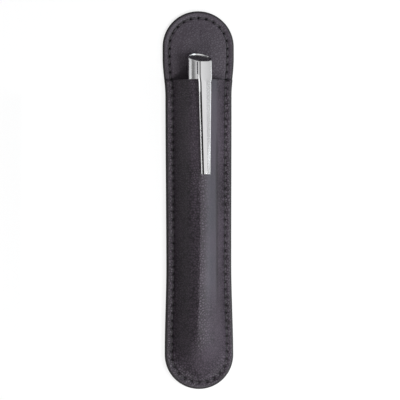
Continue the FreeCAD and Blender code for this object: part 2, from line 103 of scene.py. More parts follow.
WHITE = (1.0, 1.0, 1.0, 1.0)
# Painted shade in the needle holes.
NEEDLE_HOLE_SHADE = (0.006, 0.005, 0.006, 1.0)
FLAG_BLACK = (0.015, 0.015, 0.015, 1.0)
FLOOR_SEEN = (0.23, 0.23, 0.23, 1.0)
FLOOR_LIT = (0.26, 0.26, 0.26, 1.0)
ROOM_TINT = (1.0, 0.93, 0.95, 1.0)


def number(name, description, default, **kind):
    return FloatProperty(name=name, description=description, default=default, **kind)


def length(name, description, default):
    return number(name, description, default, unit="LENGTH", precision=5)


def angle(name, description, degrees):
    return number(name, description, math.radians(degrees), subtype="ANGLE")


def power(name, description, default):
    return number(name, description, default, subtype="POWER")


def colour(name, description, default):
    return FloatVectorProperty(name=name, description=description, default=default, subtype="COLOR", size=3)


class SleeveSizes(bpy.types.PropertyGroup):
    """Sizes of the leather sleeve and its seam."""

    lobe_width: length("Flap width", "Width of the round flap", 0.0303)
    neck_width: length("Neck width", "Width just under the mouth", 0.0280)
    waist_width: length("Waist width", "Width at the narrowest place", 0.0275)
    foot_width: length("Foot width", "Width of the rounded lower end", 0.0290)
    neck_rise: length("Neck rise", "How far above the mouth the flap's full width begins", 0.0090)
    neck_fall: length("Neck fall", "How far under the mouth the neck lies", 0.0070)
    waist_y: length("Waist place", "Where the waist lies along the sleeve", -0.0275)
    seam_inset: length("Seam inset", "Distance of the seam from the edge", 0.0028)
    stitch_pitch: length("Stitch pitch", "Distance between needle holes", 0.0033)
    stitch_gap: length("Stitch gap", "Thread hidden in the holes, for each stitch", 0.0009)
    thread_width: length("Thread width", "Diameter of the waxed thread", 0.00052)
    hole_width: length("Hole width", "Diameter of a needle hole's dimple", 0.0011)
    edge_round: length("Edge round", "Rounding of the painted edges", 0.0009)
    pocket_inset: length("Pocket inset", "Distance from the edge to the foot of the arch", 0.0042)
    pocket_crest: length("Pocket crest", "Radius of the pocket's lining over the pen", 0.0054)
    drape_y: length("Drape start", "Where the arch begins to sink towards the foot", -0.0622)
    drape_bend: length("Drape bend", "Softness of the bend where the arch begins to sink", 0.0030)
    nose_y: length("Drape end", "Where the arch has sunk into the flat edge", -0.0755)
    fold_radius: length("Fold radius", "Softness of the fold at the foot of the arch", 0.0009)
    row_step: length("Row step", "Distance between the leather's mesh rows", 0.00042)
    skiver_step: length("Lining row step", "Distance between the pocket lining's mesh rows", 0.0009)


class PenSizes(bpy.types.PropertyGroup):
    """Sizes of the pen in the sleeve."""

    axis_height: length("Axis height", "Height of the pen's axis over the ground", 0.00755)
    roll: angle("Roll", "Turn of the pen about its own axis in the pocket", 13.0)
    cap_diameter: length("Cap diameter", "Outer diameter of the plated cap", 0.0103)
    cap_wall: length("Cap wall", "Wall of the plated cap", 0.0006)
    cap_top: length("Cap end", "Where the cap's far end lies", 0.0622)
    slant_drop: length("Slant", "How much lower the clip's side of the slanted end is", 0.0040)
    clip_top: length("Clip head", "Where the clip's head ends", 0.0582)
    clip_shoulder: length("Clip shoulder", "Where the clip's head begins to narrow", 0.0514)
    clip_neck: length("Clip neck", "Where the long taper begins", 0.0494)
    clip_tip: length("Clip tip", "Where the clip ends", 0.0108)
    clip_head_width: length("Clip head width", "Width of the head's flat face", 0.0047)
    clip_neck_width: length("Clip neck width", "Width of the flat face at the neck", 0.0042)
    clip_tip_width: length("Clip tip width", "Width of the flat face at the tip", 0.0027)
    clip_bevel: length("Clip bevel", "Width of the clip's bevelled sides", 0.0007)
    turning_steps: IntProperty(name="Turning steps", description="Facets round each turned piece", default=96)


class SleeveFinishes(bpy.types.PropertyGroup):
    """Colours of the materials, and the size of the leather's grain."""

    leather: colour("Leather", "Outer leather", (0.087, 0.067, 0.0895))
    # The cool, lighter tint of a painted sheen on the pocket's right flank.
    leather_sheen_tint: colour("Rubbed leather", "Leather worn smooth on the pocket", (0.068, 0.066, 0.080))
    leather_pore: colour("Leather creases", "Creases between the pebbles", (0.015, 0.011, 0.0155))
    lining: colour("Lining leather", "Face of the flap", (0.062, 0.050, 0.066))
    edge_paint: colour("Edge paint", "Painted edges", (0.016, 0.014, 0.016))
    skiver: colour("Pocket lining", "Thin leather in the pocket", (0.028, 0.026, 0.028))
    thread: colour("Thread", "Waxed thread", (0.026, 0.022, 0.027))
    plating: colour("Plating", "Bright plated metal", (0.86, 0.86, 0.87))
    inlay: colour("Inlay", "Inlay of the cap's end", (0.105, 0.100, 0.109))
    lacquer: colour("Lacquer", "Barrel lacquer", (0.010, 0.010, 0.011))
    resin: colour("Resin", "Grip and turning knob", (0.014, 0.014, 0.015))
    moulding: colour("Moulded parts", "Feed, inner cap and piston", (0.022, 0.022, 0.023))
    nib: colour("Nib", "Polished nib steel", (0.78, 0.77, 0.75))
    steel: colour("Spring steel", "Pin and leaf spring", (0.52, 0.52, 0.53))
    brass: colour("Brass", "Plug in the cap's head", (0.70, 0.52, 0.25))
    reservoir: colour("Reservoir", "Clear ink reservoir", (0.80, 0.83, 0.85))
    board: colour("Board", "Stiff board in the back", (0.33, 0.27, 0.20))
    grain: length("Grain", "Size of the leather's pebbles", 0.0011)


class StudioSettings(bpy.types.PropertyGroup):
    """Camera and lamps."""

    side_angle: angle("Side angle", "Camera's angle to the left of the front", 6.0)
    tilt: angle("Camera roll", "Turn of the camera about its line of sight", 0.12)
    distance: length("Distance", "Camera's distance from the sleeve", 1.5)
    frame_width: length("Frame width", "Width that the picture covers at the sleeve", 0.1695)
    aim_x: length("Aim across", "Place at the picture's centre, across", 0.00058)
    aim_y: length("Aim along", "Place at the picture's centre, along", 0.00002)
    aim_z: length("Aim height", "Height at the picture's centre", 0.0015)
    key_power: power("Key lamp", "Power of the softbox on the right", 2.05)
    side_power: power("Side lamp", "Power of the wide window on the right", 1.5)
    foot_power: power("Foot lamp", "Power of the softbox past the foot", 1.9)
    room_top: number("Mirrored ceiling", "Brightness of the ceiling in the metal", 0.86)
    room_fall: number("Mirrored walls", "How much darker the walls are in the metal", 1.1)
    room_low: number("Mirrored ground", "Least brightness of the room in the metal", 0.24)
    ambient: number("Ambient", "Light from all round", 0.040)


def ease(share):
    return share * share * (3.0 - 2.0 * share)


def between(value, low, high):
    """0 as far as low, 1 from high on and even between. It falls where low is the greater."""
    return np.clip((value - low) / (high - low), 0.0, 1.0)


def rise(value, low, high):
    """The same with a smooth start and end."""
    return ease(between(value, low, high))


def bell(distance, width):
    return np.exp(-((distance / width) ** 2))


def soft_max(a, b, width):
    return 0.5 * (a + b + np.sqrt((a - b) ** 2 + width * width))


def round_ends(sizes, inset):
    """Place and radius of the flap's round end and of the foot's, that far in from the edge."""
    lobe, foot = sizes.lobe_width / 2, sizes.foot_width / 2
    return CASE_TOP - lobe, lobe - inset, CASE_BOTTOM + foot, foot - inset


def half_width(sizes, y, inset=0.0):
    """Half of the sleeve's width at y, that far in from the edge."""
    y = np.asarray(y, dtype=float)
    lobe_y, lobe, foot_y, foot = round_ends(sizes, inset)
    neck = sizes.neck_width / 2 - inset
    waist = sizes.waist_width / 2 - inset
    neck_top = MOUTH_Y + sizes.neck_rise
    neck_bottom = MOUTH_Y - sizes.neck_fall

    def span(y0, w0, y1, w1):
        return w0 + (w1 - w0) * rise(y, y0, y1)

    side = np.where(
        y >= neck_bottom, span(neck_top, lobe, neck_bottom, neck),
        np.where(y >= sizes.waist_y, span(neck_bottom, neck, sizes.waist_y, waist),
                 span(sizes.waist_y, waist, foot_y, foot)))
    flap = np.sqrt(np.clip(lobe ** 2 - (y - lobe_y) ** 2, 0.0, None))
    low = np.sqrt(np.clip(foot ** 2 - (y - foot_y) ** 2, 0.0, None))
    return np.where(y > lobe_y, flap, np.where(y < foot_y, low, side))


def edge_line(sizes, start_y, inset=0.0):
    """Fine points on the right-hand edge from start_y down to the middle of the foot, and their spine points."""
    lobe_y, lobe, foot_y, foot = round_ends(sizes, inset)
    quarter = math.pi / 2
    runs = []
    if start_y > lobe_y:
        turn = np.linspace(quarter, 0.0, END_POINTS, endpoint=False)
        spine = lobe_y + SPINE_REACH * lobe * turn / quarter
        runs.append((lobe * np.cos(turn), lobe_y + lobe * np.sin(turn), spine))
        runs[0][0][0] = 0.0
        start_y = lobe_y
    side = np.linspace(start_y, foot_y, SIDE_POINTS, endpoint=False)
    runs.append((half_width(sizes, side, inset), side, side))
    turn = np.linspace(0.0, quarter, END_POINTS)
    spine = foot_y - SPINE_REACH * foot * turn / quarter
    runs.append((foot * np.cos(turn), foot_y - foot * np.sin(turn), spine))
    runs[-1][0][-1] = 0.0
    return [np.concatenate(row) for row in zip(*runs)]


def spaced(points, step):
    """The same line in equal steps, as near to the given step as they fit."""
    steps = np.hypot(np.diff(points[0]), np.diff(points[1]))
    run = np.concatenate([[0.0], np.cumsum(steps)])
    count = round(float(run[-1]) / step)
    stops = np.linspace(0.0, run[-1], count + 1)
    return [np.interp(stops, run, row) for row in points]


def needle_holes(sizes, upward):
    """Needle holes of the right-hand half, from the mouth to the middle of the flap's or the foot's end."""
    line = np.array(edge_line(sizes, CASE_TOP if upward else MOUTH_Y, sizes.seam_inset)[:2])
    if upward:
        line = line[:, line[1] >= MOUTH_Y][:, ::-1]
    return np.stack(spaced(line, sizes.stitch_pitch), axis=1)


def both_sides(holes):
    mirrored = holes * np.array([-1.0, 1.0])
    return np.concatenate([holes, mirrored])


def pocket_shape(sizes, pen, y):
    """Half-width at the arch's foot, radius and height of its crest at y, all for the pocket's lining."""
    foot = half_width(sizes, y, sizes.pocket_inset)
    full_foot = float(half_width(sizes, sizes.drape_y, sizes.pocket_inset))
    least_foot = 0.0003
    full_top = pen.axis_height + sizes.pocket_crest
    low_top = 0.0023
    sunk = soft_max(sizes.drape_y - y, 0.0, sizes.drape_bend) / (sizes.drape_y - sizes.nose_y)
    share = np.clip(1.0 - sunk, -0.5, 1.0)
    low = y < sizes.drape_y
    crest = np.where(low, sizes.pocket_crest * np.clip(foot / full_foot, 0.05, 1.0), sizes.pocket_crest)
    crest_z = low_top + (full_top - low_top) * share - crest
    return np.maximum(foot, least_foot), crest, crest_z


def arch(sizes, pen, x, y, grow):
    """Height of the pocket's arch over the pen, grown outwards from its lining."""
    least_slope = 0.02
    foot, crest, crest_z = pocket_shape(sizes, pen, y)
    height = crest_z - MARGIN_Z
    lean = np.arcsin(np.clip(crest / np.hypot(foot, height), -1.0, 1.0))
    slope = np.clip(np.arctan2(height, foot) + lean, least_slope, math.pi / 2 - least_slope)
    radius = crest + grow
    shoulder = radius * np.sin(slope)
    away = np.abs(x)
    crown = crest_z + np.sqrt(np.clip(radius ** 2 - np.minimum(away, shoulder) ** 2, 0.0, None))
    flank = crest_z + radius * np.cos(slope) - (away - shoulder) * np.tan(slope)
    return np.where(away <= shoulder, crown, flank)


def hole_distance(x, y, holes):
    """Distance to the nearest needle hole."""
    nearest = np.full(x.shape, 1.0)
    for hole_x, hole_y in holes:
        nearest = np.minimum(nearest, np.hypot(x - hole_x, y - hole_y))
    return nearest


def edge_drop(inset, radius, depth):
    """How far a rounded edge lies under the sheet's face."""
    share = np.clip(1.0 - inset / radius, 0.0, 1.0)
    return depth * (1.0 - np.sqrt(np.clip(1.0 - share ** 2, 0.0, None)))


def worked_in(sizes, holes, x, y, inset, seam, hole, edge):
    """How far the drawn-in seam, the needle holes and the rounded edge lie under a sheet's face."""
    steep, gentle = 0.00045, 0.0018
    from_seam = inset - sizes.seam_inset
    valley = np.where(from_seam > 0.0, bell(from_seam, steep), rise(from_seam, -gentle, 0.0))
    dimple = bell(hole_distance(x, y, holes), 0.5 * sizes.hole_width)
    return seam * valley + hole * dimple + edge_drop(inset, sizes.edge_round, edge)


def unevenness(x, y):
    """Gentle waves of hand-worked leather, from -1 to 1."""
    wave = np.sin(310.0 * x + 170.0 * y + 0.7) * np.sin(95.0 * y - 210.0 * x + 2.1)
    wave += 0.6 * np.sin(520.0 * y + 140.0 * x + 4.0) * np.sin(430.0 * x + 1.3)
    return wave / 1.6


def crest_line(y):
    """Where the leather folds over the pen's top, across. It leans to the left towards the foot."""
    start_x, bend_y, lean = -0.0004, -0.012, 0.03
    return start_x + lean * (np.minimum(y, bend_y) - bend_y)


def crest_fold(x, y, arched):
    """Height of the fold over the pen's top, less the dip along its left side."""
    fold_height, left_width, right_width = 0.00056, 0.0025, 0.0016
    dip_depth, dip_start, dip_width, dip_tail = 0.00036, -0.0026, 0.0024, 0.004
    beside = x - crest_line(y)
    above_foot = rise(y, -0.062, -0.050)
    below_clip = rise(y, 0.006, -0.004) * above_foot
    past_dip = beside - dip_start
    dip = np.where(past_dip < 0.0, np.exp(past_dip / dip_tail), rise(past_dip, dip_width, 0.0))
    fold = np.exp(-np.abs(beside) / np.where(beside < 0.0, left_width, right_width))
    return fold_height * below_clip * fold - dip_depth * above_foot * dip * arched


def flank_crease(x, y):
    """Height of the crease in the right flank: a low ridge and the valley beside it."""
    ridge_height, ridge_place, ridge_width = 0.00012, -0.0009, 0.0005
    valley_depth, valley_width = 0.00030, 0.0004
    beside = x - CREASE_X
    reach = rise(y, -0.046, -0.028) * rise(y, 0.024, 0.010)
    ridge = ridge_height * bell(beside - ridge_place, ridge_width)
    return reach * (ridge - valley_depth * bell(beside, valley_width))


def deselect():
    if bpy.context.object is not None and bpy.context.object.mode != "OBJECT":
        object_mode()
    bpy.ops.object.select_all(action="DESELECT")


def object_mode():
    bpy.ops.object.mode_set(mode="OBJECT")


def edit_all():
    bpy.ops.object.mode_set(mode="EDIT")
    bpy.ops.mesh.select_all(action="SELECT")


def face_outwards():
    edit_all()
    bpy.ops.mesh.normals_make_consistent(inside=False)
    object_mode()


def named(name):
    """The active object, with its name."""
    obj = bpy.context.object
    obj.name = name
    obj.data.name = name
    return obj


def start(name, primitive, **settings):
    """A primitive that a piece is made from."""
    deselect()
    primitive(**settings)
    return named(name)


def select(pieces):
    """Selects these pieces alone, the first of them active."""
    deselect()
    for piece in pieces:
        piece.select_set(True)
    bpy.context.view_layer.objects.active = pieces[0]


def smooth_by_angle(obj, degrees):
    select([obj])
    bpy.ops.object.shade_smooth_by_angle(angle=math.radians(degrees))


def join(pieces):
    select(pieces)
    bpy.ops.object.join()


def apply_modifier(obj, kind, **settings):
    modifier = obj.modifiers.new(kind.lower(), kind)
    for key, value in settings.items():
        setattr(modifier, key, value)
    bpy.ops.object.modifier_apply(modifier=modifier.name)


def places(mesh):
    flat = np.empty(len(mesh.vertices) * 3)
    mesh.vertices.foreach_get("co", flat)
    return flat.reshape(-1, 3)


def move_to(mesh, points):
    mesh.vertices.foreach_set("co", np.ascontiguousarray(points).ravel())
    mesh.update()


def store(obj, name, values):
    """Keeps one value for each point, which a finish reads by its name."""
    layer = obj.data.attributes.new(name, "FLOAT", "POINT")
    layer.data.foreach_set("value", values.astype(np.float32))


def leather_sheet(name, sizes, start_y, top_face, under_face, middle, columns=EDGE_COLUMNS, row_step=None):
    """A cut sheet of leather with a top and an under face.

    Its rows run from edge to edge, with the given columns near each edge and middle more up to the spine.
    """
    edge_x, edge_y, spine_y = spaced(edge_line(sizes, start_y), row_step or sizes.row_step)
    rows = len(edge_x)
    last = len(columns) - 1
    half = last + middle
    obj = start(name, bpy.ops.mesh.primitive_grid_add, size=2.0, x_subdivisions=2 * half,
                y_subdivisions=rows - 1)
    mesh = obj.data
    grid = places(mesh)
    column = np.rint((grid[:, 0] + 1.0) * half).astype(int)
    row = np.rint((1.0 - grid[:, 1]) / 2.0 * (rows - 1)).astype(int)
    step = np.minimum(column, 2 * half - column)
    side = np.sign(column - half)
    depth = np.hypot(edge_x, edge_y - spine_y)[row]
    inner = columns[-1] + (depth - columns[-1]) * (step - last) / middle
    inset = np.where(step <= last, np.array(columns)[np.minimum(step, last)], inner)
    share = inset / depth
    x = side * edge_x[row] * (1.0 - share)
    y = edge_y[row] + (spine_y[row] - edge_y[row]) * share
    move_to(mesh, np.stack([x, y, top_face(x, y, inset)], axis=1))
    store(obj, "inset", inset)
    edit_all()
    bpy.ops.mesh.remove_doubles(threshold=1e-6)
    object_mode()
    outer = places(mesh)
    inset = np.empty(len(outer), dtype=np.float32)
    mesh.attributes["inset"].data.foreach_get("value", inset)
    apply_modifier(obj, "SOLIDIFY", thickness=0.0005, offset=-1.0)
    if len(mesh.vertices) != 2 * len(outer):
        raise RuntimeError(name + " did not get its second face")
    lower = np.stack([outer[:, 0], outer[:, 1], under_face(outer[:, 0], outer[:, 1], inset)], axis=1)
    move_to(mesh, np.concatenate([outer, lower]))
    smooth_by_angle(obj, degrees=50)
    return obj


def mark_seam(obj, sizes, holes):
    """Stores how near each point is to a needle hole, for the painted shade in the holes."""
    points = places(obj.data)
    nearest = hole_distance(points[:, 0], points[:, 1], both_sides(holes))
    store(obj, "needle", rise(nearest, 0.8 * sizes.hole_width, 0.3 * sizes.hole_width))


def mark_sheen_and_crease_shade(obj):
    """Stores where the right flank gets a painted sheen and smoother grain, and where its crease gets painted
    shade, for the leather's colour.
    """
    crest_reach, crease_width, fade_width = 0.0045, 0.00055, 0.0030
    points = places(obj.data)
    x, y = points[:, 0], points[:, 1]
    beside = x - CREASE_X
    along = rise(y, -0.052, -0.032)
    past_crest = rise(x - crest_line(y), 0.0, crest_reach)
    above_crease = rise(beside, 0.0004, -0.0004)
    wear_and_sheen = past_crest * (0.45 + 0.55 * above_crease) * rise(beside, fade_width, 0.0)
    # Painted shade along the flank's crease, and a painted sheen with smoother grain left of it.
    store(obj, "crease_shade", along * rise(y, 0.034, 0.018) * bell(beside, crease_width))
    store(obj, "wear_and_sheen", wear_and_sheen * (0.25 + 0.75 * along))


def turned(name, profile, pen, closed=True):
    """A piece turned on the lathe: its profile of (radius, place along the pen) spun about the pen's axis."""
    first_radius, first_y = profile[0]
    obj = start(name, bpy.ops.mesh.primitive_plane_add, size=0.001)
    edit_all()
    bpy.ops.mesh.merge(type="CENTER")
    bpy.ops.mesh.select_all(action="SELECT")
    bpy.ops.transform.translate(value=(0, first_y, pen.axis_height + first_radius))
    for (radius, y), (next_radius, next_y) in zip(profile, profile[1:]):
        bpy.ops.mesh.extrude_vertices_move(
            TRANSFORM_OT_translate={"value": (0, next_y - y, next_radius - radius)})
    if closed:
        object_mode()
        for vertex in obj.data.vertices:
            vertex.select = vertex.index in (0, len(profile) - 1)
        bpy.ops.object.mode_set(mode="EDIT")
        bpy.ops.mesh.edge_face_add()
    bpy.ops.mesh.select_all(action="SELECT")
    bpy.ops.mesh.spin(steps=pen.turning_steps, angle=2 * math.pi, center=(0, 0, pen.axis_height), axis=(0, 1, 0))
    bpy.ops.mesh.select_all(action="SELECT")
    bpy.ops.mesh.remove_doubles(threshold=2e-6)
    face_outwards()
    smooth_by_angle(obj, degrees=35)
    return obj


def roll_pen(obj, pen):
    """Turns a piece about the pen's axis, as the pen lies in the pocket."""
    centre = Matrix.Translation((0, 0, pen.axis_height))
    obj.data.transform(centre @ Matrix.Rotation(pen.roll, 4, "Y") @ centre.inverted())
    obj.data.update()


def slant_end(obj, pen, above):
    """Lowers the clip's side of the cap's end, so that the end slants."""
    points = places(obj.data)
    height = points[:, 2] - pen.axis_height
    radius = pen.cap_diameter / 2
    drop = pen.slant_drop * (height + radius) / (2 * radius)
    points[:, 1] -= np.where(points[:, 1] > above, drop, 0.0)
    move_to(obj.data, points)


def operator_pair(operation):
    """The two methods of an operator: with the socket in front of its sign, and behind it."""
    def in_front(self, other):
        return self.math(operation, self, other)

    def behind(self, other):
        return self.math(operation, other, self)

    return in_front, behind


class Socket:
    """An output of a shader node, with Python's operators as Math nodes."""

    def __init__(self, finish, link):
        self.finish = finish
        self.link = link

    def math(self, operation, first, second):
        return self.finish.node("ShaderNodeMath", {"operation": operation}, {0: first, 1: second})["Value"]

    def most(self, other):
        return self.math("MAXIMUM", self, other)

    def least(self, other):
        return self.math("MINIMUM", self, other)

    __add__, __radd__ = operator_pair("ADD")
    __sub__, __rsub__ = operator_pair("SUBTRACT")
    __mul__, __rmul__ = operator_pair("MULTIPLY")


class Outputs:
    """The outputs of one node, by name or number."""

    def __init__(self, finish, made):
        self.finish = finish
        self.made = made

    def __getitem__(self, name):
        return Socket(self.finish, self.made.outputs[name])


class Finish:
    """A node tree being written, for a material or the world."""

    def __init__(self, owner):
        owner.use_nodes = True
        self.owner = owner
        self.tree = owner.node_tree
        self.tree.nodes.clear()

    def node(self, kind, settings=None, sockets=None):
        made = self.tree.nodes.new(kind)
        for key, value in (settings or {}).items():
            setattr(made, key, value)
        for key, value in (sockets or {}).items():
            if isinstance(value, Socket):
                self.tree.links.new(value.link, made.inputs[key])
            else:
                made.inputs[key].default_value = value
        return Outputs(self, made)

    def place(self):
        return self.node("ShaderNodeTexCoord")["Object"]

    def noise(self, size, detail=3.0, roughness=0.55, stretch=None):
        spot = self.place()
        if stretch is not None:
            spot = self.node("ShaderNodeMapping", None, {"Vector": spot, "Scale": stretch})["Vector"]
        return self.node("ShaderNodeTexNoise", None, {
            "Vector": spot, "Scale": 1.0 / size, "Detail": detail, "Roughness": roughness})["Fac"]

    def ramp(self, value, low, high):
        """0 under low, 1 over high and smooth between."""
        return self.node("ShaderNodeMapRange", {"interpolation_type": "SMOOTHSTEP"}, {
            "Value": value, "From Min": low, "From Max": high})["Result"]

    def mix(self, share, first, second):
        return self.node("ShaderNodeMix", {"data_type": "RGBA"}, {0: share, 6: first, 7: second})[2]

    def tones(self, share, base, dark, light):
        """One colour from darker to lighter."""
        return self.mix(share, shade(base, dark), shade(base, light))

    def attribute(self, name):
        return self.node("ShaderNodeAttribute", {"attribute_name": name})["Fac"]

    def bump(self, height, strength, distance):
        return self.node("ShaderNodeBump", None, {
            "Height": height, "Strength": strength, "Distance": distance})["Normal"]

    def matt(self, tone):
        return self.node("ShaderNodeBsdfDiffuse", None, {"Color": tone})["BSDF"]

    def glow(self, strength):
        return self.node("ShaderNodeEmission", None, {"Color": WHITE, "Strength": strength})["Emission"]

    def rays(self):
        """1 for the rays that the picture shows, and 1 for those of them that a surface mirrors or refracts."""
        paths = self.node("ShaderNodeLightPath")
        bent = paths["Is Glossy Ray"] + paths["Is Transmission Ray"]
        return (paths["Is Camera Ray"] + bent).least(1.0), bent.least(1.0)

    def close(self, shader):
        self.node("ShaderNodeOutputMaterial", None, {"Surface": shader})
        return self.owner

    def surface(self, sockets):
        return self.close(self.node("ShaderNodeBsdfPrincipled", None, sockets)["BSDF"])


def shade(rgb, factor=1.0):
    return (rgb[0] * factor, rgb[1] * factor, rgb[2] * factor, 1.0)


def new_finish(name):
    return Finish(bpy.data.materials.new(name))


def pebbled_leather(name, base, pore, finishes, depth, gloss):
    """Pebbled leather with creases, needle holes and a painted edge; painted shade darkens the needle holes and
    the flank's crease, and a painted sheen lightens the flank.
    """
    finish = new_finish(name)
    spot = finish.place()
    wander = finish.node("ShaderNodeTexNoise", None, {"Vector": spot, "Scale": 900.0, "Detail": 2.0})["Color"]
    warped = finish.node("ShaderNodeMix", {"data_type": "VECTOR"}, {0: 0.00022, 4: spot, 5: wander})[1]
    cells = finish.node("ShaderNodeTexVoronoi", {"feature": "DISTANCE_TO_EDGE"}, {
        "Vector": warped, "Scale": 1.0 / finishes.grain, "Randomness": 0.9})["Distance"]
    pebble = finish.ramp(cells, 0.0, 0.26)
    fine = finish.noise(0.00022, 2.0)
    cloud = finish.noise(0.006)
    wide = finish.noise(0.028, 2.0)
    edge = 1.0 - finish.ramp(finish.attribute("inset"), 0.00045, 0.00100)
    needle = finish.attribute("needle")
    wear_and_sheen = finish.attribute("wear_and_sheen")
    crease_shade = finish.attribute("crease_shade")
    # Painted sheen on the right flank: its pores are filled in and it takes a cool, lighter tint, as a highlight
    # would give it.
    filled = (pebble * (0.55 + 0.5 * cloud) + 0.05 * wear_and_sheen).least(1.0)
    tone = finish.mix(filled, shade(pore), shade(base))
    sheen_tinted = finish.mix(wear_and_sheen * wear_and_sheen * 0.75, tone, shade(finishes.leather_sheen_tint))
    faded = finish.mix(finish.ramp(wide, 0.42, 0.68) * 0.35, sheen_tinted, shade(base, 1.28))
    # Painted shade along the crease in the right flank.
    worn = finish.mix(crease_shade * 0.75, faded, shade(pore))
    # Painted shade in the needle holes.
    hole_shaded = finish.mix(needle.least(1.0) * 0.9, worn, NEEDLE_HOLE_SHADE)
    painted = finish.mix(edge, hole_shaded, shade(finishes.edge_paint))
    roughness = gloss + 0.04 * (1.0 - pebble) + 0.10 * (cloud - 0.5) + 0.10 * edge
    grain = pebble * 0.86 + fine * 0.14
    height = grain * (1.0 - 0.85 * edge) * (1.0 - 0.8 * wear_and_sheen)
    return finish.surface({
        "Base Color": painted, "Roughness": roughness, "Specular IOR Level": 0.38,
        "Normal": finish.bump(height, depth, 0.00024)})


def outer_leather(finishes):
    """The leather of the back and of the pocket, made once."""
    name = "pebbled_leather"
    return bpy.data.materials.get(name) or pebbled_leather(
        name, finishes.leather, finishes.leather_pore, finishes, depth=0.64, gloss=0.46)


def waxed_thread(finishes):
    finish = new_finish("waxed_thread")
    fibre = finish.noise(0.00009, 2.0)
    wax = finish.noise(0.0011, 2.0)
    return finish.surface({
        "Base Color": finish.tones(fibre, finishes.thread, 0.7, 1.25), "Roughness": 0.46 + 0.22 * wax,
        "Sheen Weight": 0.15, "Normal": finish.bump(fibre, 0.35, 0.00006)})


def plated_metal(name, base, roughness):
    """Plated metal with faint wiping marks."""
    finish = new_finish(name)
    wipe = finish.noise(0.0016, 4.0, 0.6, (1.0, 0.12, 1.0))
    haze = finish.noise(0.009, 2.0)
    return finish.surface({
        "Base Color": finish.tones(haze, base, 0.97, 1.02), "Metallic": 1.0,
        "Roughness": roughness + 0.05 * finish.ramp(wipe, 0.45, 0.8),
        "Normal": finish.bump(wipe, 0.004, 0.00003)})


def grained(name, base, grain, tones, roughness, spread, relief, **extra):
    """A finish with one grain, which spreads its roughness and makes its tones and relief."""
    finish = new_finish(name)
    line = finish.noise(*grain)
    return finish.surface({
        "Base Color": finish.tones(line, base, *tones), "Roughness": roughness + spread * line,
        "Normal": finish.bump(line, *relief), **extra})


def ground_metal(name, base, roughness):
    """Machined or ground metal with fine turning lines."""
    lines = (0.00025, 3.0, 0.6, (1.0, 6.0, 1.0))
    return grained(name, base, lines, (0.85, 1.08), roughness, 0.18, (0.12, 0.00003), Metallic=1.0)


def moulded_part(name, base):
    return grained(name, base, (0.00035,), (0.85, 1.15), 0.38, 0.2, (0.12, 0.00005))


def pressed_board(finishes):
    fibres = (0.0009, 5.0, 0.7, (1.0, 0.3, 1.0))
    return grained("pressed_board", finishes.board, fibres, (0.75, 1.15), 0.8, 0.15, (0.3, 0.0001))


def gloss_coat(name, base, roughness, coat):
    """Gloss lacquer or resin with faint dust and wiping marks."""
    finish = new_finish(name)
    haze = finish.noise(0.007)
    dust = finish.ramp(finish.noise(0.0006, 2.0), 0.66, 0.78)
    return finish.surface({
        "Base Color": finish.tones(dust * 0.25, base, 1.0, 2.2), "Roughness": roughness + 0.09 * haze,
        "Coat Weight": coat, "Coat Roughness": 0.03, "Normal": finish.bump(haze, 0.02, 0.0001)})


def clear_reservoir(finishes):
    finish = new_finish("clear_reservoir")
    haze = finish.noise(0.003)
    return finish.surface({
        "Base Color": finish.tones(haze, finishes.reservoir, 0.94, 1.0), "Roughness": 0.05 + 0.04 * haze,
        "Alpha": 0.28, "IOR": 1.5})


def dress(obj, material, node, body):
    """Gives a new piece its finish, and puts it in the place of its CAD node."""
    obj.data.materials.clear()
    obj.data.materials.append(material)
    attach(obj, body)
    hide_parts(node)


def dress_nodes(material, *nodes):
    """Gives CAD nodes that stay a new finish."""
    for node in nodes:
        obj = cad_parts[node]
        if not obj.material_slots:
            obj.data.materials.append(material)
        for place in obj.material_slots:
            place.material = material


class SLEEVE_OT_back(bpy.types.Operator):
    """Make the back leather and the flap's lining leather, and finish the board between them"""

    bl_idname = "sleeve.back"
    bl_label = "Back and flap"

    def execute(self, context):
        sizes = context.scene.sleeve_sizes
        finishes = context.scene.sleeve_finishes
        holes = np.concatenate([needle_holes(sizes, True), needle_holes(sizes, False)[1:]])
        mirrored = both_sides(holes)
        join_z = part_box("back_panel")[1][2]
        plateau_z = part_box("back_lining")[1][2]
        lobe_y = round_ends(sizes, 0.0)[0]
        swell_start, swell_end = 0.0034, 0.0110
        crease_x, crease_width, crease_depth = 0.0004, 0.00035, 0.00014
        crease_low, crease_high, crease_fade = lobe_y + 0.0012, lobe_y + 0.0092, 0.0030
        wave_height, wave_reach = 0.00004, 0.006

        def flat_join(x, y, inset):
            return np.full(x.shape, join_z)

        def back_face(x, y, inset):
            return worked_in(sizes, mirrored, x, y, inset, seam=0.00035, hole=0.0003, edge=0.0006)

        def flap_face(x, y, inset):
            crease = bell(x - crease_x, crease_width) * rise(y, crease_low, crease_low + crease_fade)
            crease *= rise(y, crease_high, crease_high - crease_fade)
            wave = unevenness(x, y) * between(inset, 0.0, wave_reach)
            z = MARGIN_Z + (plateau_z - MARGIN_Z) * rise(inset, swell_start, swell_end)
            z = np.minimum(z - crease_depth * crease + wave_height * wave, plateau_z)
            return z - worked_in(sizes, mirrored, x, y, inset, seam=0.00032, hole=0.0004, edge=0.0005)

        back = leather_sheet("back_leather", sizes, CASE_TOP, flat_join, back_face, middle=12)
        mark_seam(back, sizes, holes)
        dress(back, outer_leather(finishes), "back_panel", "case")

        pore = shade(finishes.leather_pore, 2.4)
        lining = pebbled_leather("lining_leather", finishes.lining, pore, finishes, depth=0.36, gloss=0.50)
        flap = leather_sheet("flap_lining", sizes, CASE_TOP, flap_face, flat_join, middle=14)
        mark_seam(flap, sizes, holes)
        dress(flap, lining, "back_lining", "case")
        dress_nodes(pressed_board(finishes), "back_stiffener")
        return {"FINISHED"}


